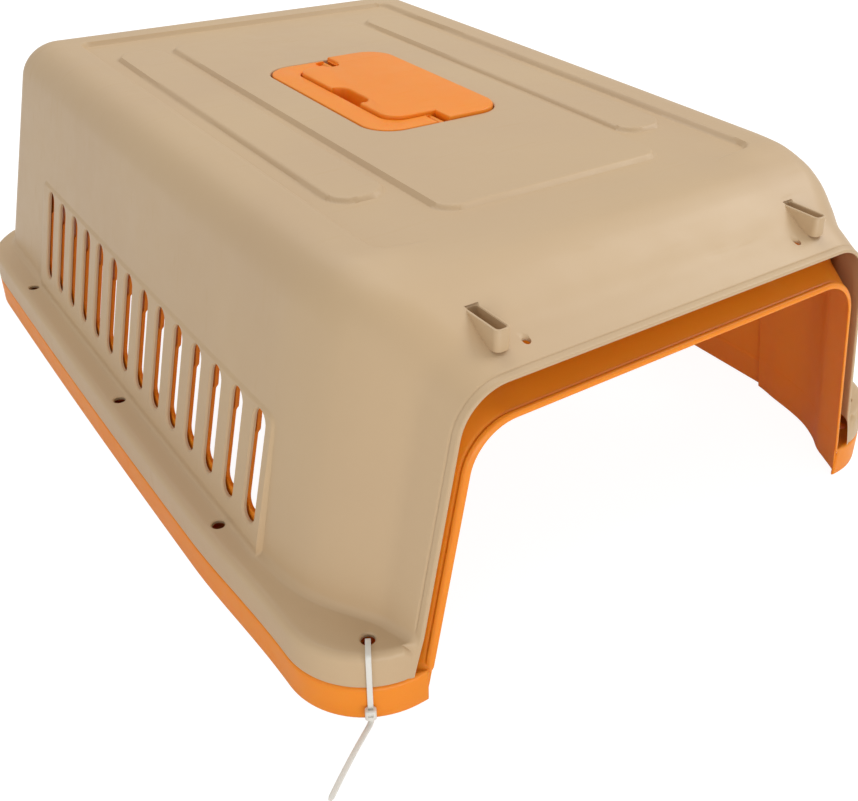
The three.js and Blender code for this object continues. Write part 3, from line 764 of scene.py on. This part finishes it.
def slot_cutters(name, low, shift, top, widen, chamfer):
    """Upright round-ended slots through one side wall, their outer edges chamfered."""
    half = SLOT["width"] / 2
    points, faces = [], []
    for index in range(SLOT["count"]):
        depth = SLOT["first"] + index * SLOT["pitch"] + shift
        outline = [*arc(0, half, half, 180, 360, 14), *arc(0, SLOT["height"] - half, half, 0, 180, 14)]
        surface = WALL_FOOT + widen - bow(WALL_BOW, depth) + PANEL["foot"]
        slope = DRAFT + (PANEL["foot"] - PANEL["head"]) / PANEL["top"]
        for side in (-1, 1):
            first = len(points)
            for out, grow in ((-30, 0), (-chamfer, 0), (5 - chamfer, 5)):
                for u, v in grown(outline, grow):
                    z = low + v
                    points.append((side * (surface - slope * (z - top) + out), y_at(depth + u), z))
            count = len(outline)
            rings = [list(range(first + r * count, first + (r + 1) * count)) for r in range(3)]
            own = [rings[0][::-1], rings[2]]
            for a, b in zip(rings, rings[1:]):
                own += [[a[i], a[(i + 1) % count], b[(i + 1) % count], b[i]] for i in range(count)]
            faces += [face[::-1] for face in own] if side < 0 else own
    return new_object(name, points, faces)


def flange_hole_cutters(top):
    places = [(edge_at(depth)[0][0] - HOLE["from_edge"], depth) for depth in HOLE["depths"]]
    holes = []
    for x, depth in [*places, CORNER_HOLE]:
        for side in (-1, 1):
            low, high = (side * x, y_at(depth), top - 8), (side * x, y_at(depth), top + 1.4)
            holes.append(cylinder("hole", HOLE["radius"], low, high, flare=0.7))
    return holes


def socket_outline(side, inset):
    half = SOCKET["half_width"] - inset
    x = side * SOCKET["x"]
    return rounded_box(
        x - half, x + half, y_at(SOCKET["front"] + inset), y_at(SOCKET["back"] - inset),
        max(SOCKET["radius"] - inset, 0.8), 6,
    )


def door_sockets():
    """The two upright sockets for the door's pegs, and the cutters for their hollows."""
    floor, top = ROOF - SOCKET["depth"], SOCKET["top"]
    body = [(floor - 2, 0), (top - 0.6, 0), (top - 0.2, -0.18), (top, -0.6)]
    hollow = [(floor, 0), (top - 0.4, 0), (top + 1.0, 1.4)]
    bodies, hollows = [], []
    for side in (-1, 1):
        bodies.append(slab("socket", socket_outline(side, 0), body))
        hollows.append(slab("hollow", socket_outline(side, SOCKET["wall"]), hollow))
    return bodies, hollows


def handle_outline(grow):
    half = HANDLE["half_width"] + grow
    front, back = y_at(HANDLE["front"] - grow), y_at(HANDLE["back"] + grow)
    return rounded_box(-half, half, front, back, HANDLE["radius"] + grow, 14)


def upper_shell():
    half = HalfShell(UPPER_FOOT, 0.0, FLANGE_TOP, True, 4.0, 4.0, upper_lip, UPPER_MOUTH)
    shell = half.build("upper_shell_moulding", BEIGE_PLASTIC)
    sockets, hollows = door_sockets()
    pocket_floor = PAD_TOP - POCKET_DEPTH
    tray = slab("tray", handle_outline(POCKET_GAP + WALL), [(pocket_floor - WALL, 0), (PAD_TOP - 0.6, 0)])
    boolean(shell, [*sockets, tray], "UNION")
    pocket = slab("pocket", handle_outline(POCKET_GAP), hollow_levels(pocket_floor, PAD_TOP, 1.0))
    slots = slot_cutters("slots", 53, 0, FLANGE_TOP, 0, 0.9)
    drains = [
        cylinder("drain", DRAIN["radius"], (side * DRAIN["x"], y_at(DRAIN["depth"]), ROOF - 40),
                 (side * DRAIN["x"], y_at(DRAIN["depth"]), FLANGE_TOP + 135.2), flare=0.6)
        for side in (-1, 1)
    ]
    cuts = [slots, pocket, *hollows, *drains, *screw_bores(), *flange_hole_cutters(FLANGE_TOP)]
    boolean(shell, cuts, "DIFFERENCE")
    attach(finish_shading(shell), "shells")
    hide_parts("upper_shell")


def lower_shell():
    top = SKIRT - GAP
    half = HalfShell(LOWER_FOOT, 0.6, top, False, 2.6, 4.0, lower_lip, LOWER_MOUTH)
    shell = half.build("lower_shell_moulding", ORANGE_PLASTIC)
    boolean(shell, [inner_lip(half, top)], "UNION")
    slots = slot_cutters("slots", 56, 3, top, 0.6, 0.5)
    boolean(shell, [slots, tie_relief(), *flange_hole_cutters(top)], "DIFFERENCE")
    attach(finish_shading(shell), "shells")
    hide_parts("lower_shell")


# ---- handle ----
def screw_bores():
    radius, low, high = SCREW_RADIUS + GAP, BASE_FLOOR - 8, BASE_FLOOR + 5.5
    return [
        cylinder("screw_bore", radius, (x, y_at(depth), low), (x, y_at(depth), high))
        for x, depth in SCREWS
    ]


def pin_bores():
    radius = PIN_RADIUS + GAP
    return [
        cylinder("pin_bore", radius, (0, y_at(front - GAP), HINGE_Z), (0, y_at(back + GAP), HINGE_Z))
        for front, back in PIN_SPANS
    ]


def hinge_windows(floor, top, edge):
    """Cutters above the two hinges, where each arm stops short of the island and its knuckle shows."""
    levels = hollow_levels(floor, top, edge)
    return [
        slab("hinge_window", rounded_box(left, right, y_at(front), y_at(back), radius), levels)
        for left, right, front, back, radius in HINGE_WINDOWS
    ]


def arm_slots(top):
    """Cutters beside the windows, where the full-height side of each raised arm stands."""
    slots = []
    for side in (ARM_INNER[0], HANDLE["back"]):
        front, back = y_at(side - ARM_SLOT["reach"]), y_at(side + ARM_SLOT["past"])
        plan = rounded_box(ARM_SLOT["left"], ARM_SLOT["right"], front, back, 0.5)
        slots.append(slab("arm_slot", plan, hollow_levels(HINGE_Z, top, 0.7)))
    return slots


def handle_plan(clearance):
    """The U in plan that the folded handle fills: grip along the left, two arms to the hinge."""
    left = -HANDLE["half_width"] + clearance
    inside = -HANDLE["half_width"] + GRIP_WIDTH - clearance
    inner_front, inner_back = y_at(ARM_INNER[0] - clearance), y_at(ARM_INNER[1] + clearance)
    outer_front, outer_back = y_at(HANDLE["front"] + clearance), y_at(HANDLE["back"] - clearance)
    corner, bend = HANDLE["radius"], INNER_BEND
    return [
        (0, outer_back),
        *arc(left + corner, outer_back - corner, corner, 90, 180, 16),
        *arc(left + corner, outer_front + corner, corner, 180, 270, 16),
        (0, outer_front), (0, inner_front),
        *arc(inside + bend, inner_front + bend, bend, 270, 180, 12),
        *arc(inside + bend, inner_back - bend, bend, 180, 90, 12),
        (0, inner_back),
    ]


def arm_spans():
    front, back = HANDLE["front"], HANDLE["back"]
    return [(front + GAP, ARM_INNER[0] - GAP), (ARM_INNER[1] + GAP, back - GAP)]


def carry_handle():
    """The grip with its two arms, and the knuckles that turn on the hinge pins."""
    half = ARM_THICK / 2
    levels = edge_levels(HINGE_Z - half, HINGE_Z + half, ARM_ROUND, ARM_ROUND)
    handle = slab("carry_handle_grip", handle_plan(GAP), levels, ORANGE_PLASTIC)
    boolean(handle, hinge_windows(HINGE_Z + 0.4, PAD_TOP, 0.5), "DIFFERENCE")
    knuckles = [
        cylinder("knuckle", KNUCKLE_RADIUS, (0, y_at(front), HINGE_Z), (0, y_at(back), HINGE_Z), 40)
        for front, back in arm_spans()
    ]
    boolean(handle, knuckles, "UNION")
    boolean(handle, pin_bores(), "DIFFERENCE")
    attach(finish_shading(handle), "handle")
    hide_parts("carry_handle")


def island_outline():
    corner, bend = HANDLE["radius"], INNER_BEND
    half, start = HANDLE["half_width"], HINGE_WINDOWS[0][1]
    front, back = y_at(HANDLE["front"]), y_at(HANDLE["back"])
    inner_front, inner_back = y_at(ARM_INNER[0] + ISLAND_GAP), y_at(ARM_INNER[1] - ISLAND_GAP)
    left = -half + GRIP_WIDTH + ISLAND_GAP
    return [
        (start, inner_front), (start, front),
        *arc(half - corner, front + corner, corner, 270, 360, 14),
        *arc(half - corner, back - corner, corner, 0, 90, 14),
        (start, back), (start, inner_back),
        *arc(left + bend, inner_back - bend, bend, 90, 180, 12),
        *arc(left + bend, inner_front + bend, bend, 180, 270, 12),
    ]


def handle_base():
    """The fixed tray: a well for the folded handle round a raised island with a finger scoop."""
    top = PAD_TOP + ISLAND_RISE
    levels = edge_levels(BASE_FLOOR, PAD_TOP, 0.5, 0.5)
    base = slab("handle_base_tray", handle_outline(0), levels, ORANGE_PLASTIC)
    island = slab("island", island_outline(), edge_levels(PAD_TOP - 1.5, top, 0.1, 1.3))
    boolean(base, [island], "UNION")
    well = slab("well", handle_plan(-0.5), [(WELL_FLOOR, 0), (top + 1, 0)])
    scoop_plan = rounded_box(
        SCOOP["left"], SCOOP["right"], y_at(SCOOP["front"]), y_at(SCOOP["back"]), SCOOP["radius"],
    )
    scoop = slab("scoop", scoop_plan, hollow_levels(BASE_FLOOR + 2, top, 1.3))
    rooms = [
        cylinder("hinge_room", HINGE_ROOM, (0, y_at(front - 1), HINGE_Z), (0, y_at(back + 1), HINGE_Z), 40)
        for front, back in arm_spans()
    ]
    hinges = [*rooms, *hinge_windows(HINGE_Z, top, 0.7), *arm_slots(top), *pin_bores()]
    boolean(base, [well, scoop, *hinges, *screw_bores()], "DIFFERENCE")
    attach(finish_shading(base), "shells")
    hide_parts("handle_base")


# ---- cable tie ----
def tie_point(out, z):
    x, y = -CORNER_HOLE[0] + TIE_OUT.x * out, y_at(CORNER_HOLE[1]) + TIE_OUT.y * out
    return Vector((x, y, z))


def tie_outline(near, far, width, radius):
    """A rounded rectangle in plan, square to the skirt beside the corner hole."""
    across = Vector((-TIE_OUT.y, TIE_OUT.x, 0))
    outline = rounded_box(near, far, -width / 2, width / 2, radius, 6)
    return [tuple((tie_point(out, 0) + across * side).xy) for out, side in outline]


def tie_relief():
    return slab("tie_relief", tie_outline(8, 13, 4, 0.8), [(-1, 0), (1.9, 0)])


def corners_cut(points, rounds=3):
    """A smoother line that stays inside the corners of the first one."""
    for _ in range(rounds):
        line = [points[0]]
        for a, b in zip(points, points[1:]):
            line += [a.lerp(b, 0.25), a.lerp(b, 0.75)]
        points = [*line, points[-1]]
    return points


def evenly(points, step):
    """The same line with its points one step apart."""
    lengths = np.concatenate([[0], np.cumsum([(b - a).length for a, b in zip(points, points[1:])])])
    places = np.linspace(0, lengths[-1], int(lengths[-1] / step) + 1)
    table = np.array([tuple(point) for point in points])
    return [Vector([np.interp(place, lengths, table[:, axis]) for axis in range(3)]) for place in places]


def strap_section(size=1.0, tooth=0.0):
    """The tie's flat section with rounded corners; a tooth stands out of its inner face."""
    half_width, half_thick, corner = size * TIE_WIDTH / 2, size * TIE_THICK / 2, 0.3 * size
    plain = rounded_box(-half_width, half_width, -half_thick, half_thick, corner, 2)
    return [(u, v + tooth if v > 0 and abs(u) < half_width - 0.2 else v) for u, v in plain]


def cable_tie():
    across = (TIE_OUT.y, -TIE_OUT.x, 0)
    path = evenly(corners_cut([tie_point(out, z) for out, z in TIE_LOOP]), 0.5)
    sections = [strap_section(tooth=TIE_TOOTH if i % 2 else 0.0) for i in range(len(path))]
    tie = sweep("cable_tie_loop", path, across, sections, NYLON)
    near, far, low, high = TIE_HEAD["from"], TIE_HEAD["to"], TIE_HEAD["low"], TIE_HEAD["high"]
    head = slab("tie_head", tie_outline(near, far, TIE_HEAD["width"], 1.4), edge_levels(low, high, 0.7, 0.9))
    boolean(tie, [head], "UNION")
    window_plan = tie_outline(far - 0.8, far + 1, TIE_HEAD["hollow"], 0.3)
    window = slab("tie_window", window_plan, [(low + 2.4, 0), (low + 4.7, 0)])
    mouth_plan = tie_outline(near + 1.5, near + 3, TIE_HEAD["hollow"], 0.3)
    mouth = slab("tie_mouth", mouth_plan, [(high - 1, 0), (high + 1, 0)])
    boolean(tie, [window, mouth], "DIFFERENCE")
    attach(finish_shading(tie), "shells")
    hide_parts("cable_tie")


def tie_tail():
    """The spare end, which lies on the floor, a little bent, and points away from the corner."""
    start = tie_point(TAIL_FROM, TIE_THICK / 2 + 0.1)
    along = Vector((math.cos(TAIL_HEADING), math.sin(TAIL_HEADING), 0))
    aside = Vector((-along.y, along.x, 0))
    steps = 24
    path = [tie_point(TAIL_FROM - 0.1, TIE_HEAD["low"] - 0.2), tie_point(TAIL_FROM, TIE_THICK + 0.4)]
    for i in range(1, steps + 1):
        share = i / steps
        path.append(start + along * TAIL_LENGTH * share + aside * TAIL_SWAY * math.sin(math.pi * share))
    sections = [strap_section(tooth=TAIL_TOOTH if i % 2 else 0.0) for i in range(len(path) - 1)]
    sections.append(strap_section(0.6))
    tail = finish_shading(sweep("cable_tie_tail_strap", path, aside, sections, NYLON))
    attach(tail, "shells")
    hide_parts("cable_tie_tail")


def fasteners():
    """The hinge pins and screws keep their CAD shapes and get a steel finish."""
    names = [f"handle_pin_{i}" for i in (1, 2)] + [f"handle_screw_{i}" for i in (1, 2, 3, 4)]
    for name in names:
        for slot in bpy.data.objects[name].material_slots:
            slot.material = STEEL


# ---- studio ----
def emission_material(name, colour, diffuse, glow):
    material = bpy.data.materials.new(name)
    material.use_nodes = True
    surface = material.node_tree.nodes["Principled BSDF"]
    surface.inputs["Base Color"].default_value = (*[diffuse * c for c in colour], 1)
    surface.inputs["Roughness"].default_value = 0.9
    surface.inputs["Specular IOR Level"].default_value = 0.1
    surface.inputs["Emission Color"].default_value = (*colour, 1)
    surface.inputs["Emission Strength"].default_value = glow
    return material


def floor(name, height, material):
    reach = 14                     # metres
    corners = [(x * reach, y * reach, height / METRE) for x, y in ((-1, -1), (1, -1), (1, 1), (-1, 1))]
    mesh = bpy.data.meshes.new(name)
    mesh.from_pydata(corners, [], [[0, 1, 2, 3]])
    mesh.materials.append(material)
    plane = bpy.data.objects.new(name, mesh)
    bpy.context.scene.collection.objects.link(plane)
    return plane


def area_light(name, place, target, size, power, colour=(1, 1, 1)):
    light = bpy.data.lights.new(name, "AREA")
    light.shape = "RECTANGLE"
    light.size, light.size_y = size
    light.energy = power
    light.color = colour
    lamp = bpy.data.objects.new(name, light)
    bpy.context.scene.collection.objects.link(lamp)
    lamp.location = Vector(place)
    lamp.rotation_euler = (Vector(target) - Vector(place)).to_track_quat("-Z", "Y").to_euler()
    return lamp


def studio():
    scene = bpy.context.scene
    scene.view_settings.view_transform = "Standard"
    world = bpy.data.worlds.new("studio")
    world.use_nodes = True
    background = world.node_tree.nodes["Background"]
    background.inputs["Color"].default_value = (1, 1, 1, 1)
    background.inputs["Strength"].default_value = 0.50
    scene.world = world
    # The floor seen by the camera is paper white; a second one just under it only throws light back.
    shown = floor("floor", -0.4, emission_material("paper", (1, 1, 1), 0.2, 0.95))
    for ray in ("diffuse", "glossy", "transmission", "volume_scatter", "shadow"):
        setattr(shown, f"visible_{ray}", False)
    bounce = floor("floor_bounce", -0.8, emission_material("bounce", (1, 1, 1), 0.8, 0.1))
    bounce.visible_camera = False
    area_light("key", (1.9, -0.4, 1.9), (0, 0, 0.1), (1.3, 1.3), 24)
    area_light("top", (0.3, 1.1, 2.4), (0, 0, 0.1), (2.0, 2.0), 22)
    area_light("left_fill", (-2.2, -0.5, 0.8), (0, 0, 0.1), (1.6, 1.6), 5)
    area_light("low_front", (-0.5, -2.0, 0.16), (0, 0, 0.1), (1.6, 0.3), 12)


studio()
upper_shell()
lower_shell()
handle_base()
carry_handle()
cable_tie()
tie_tail()
fasteners()
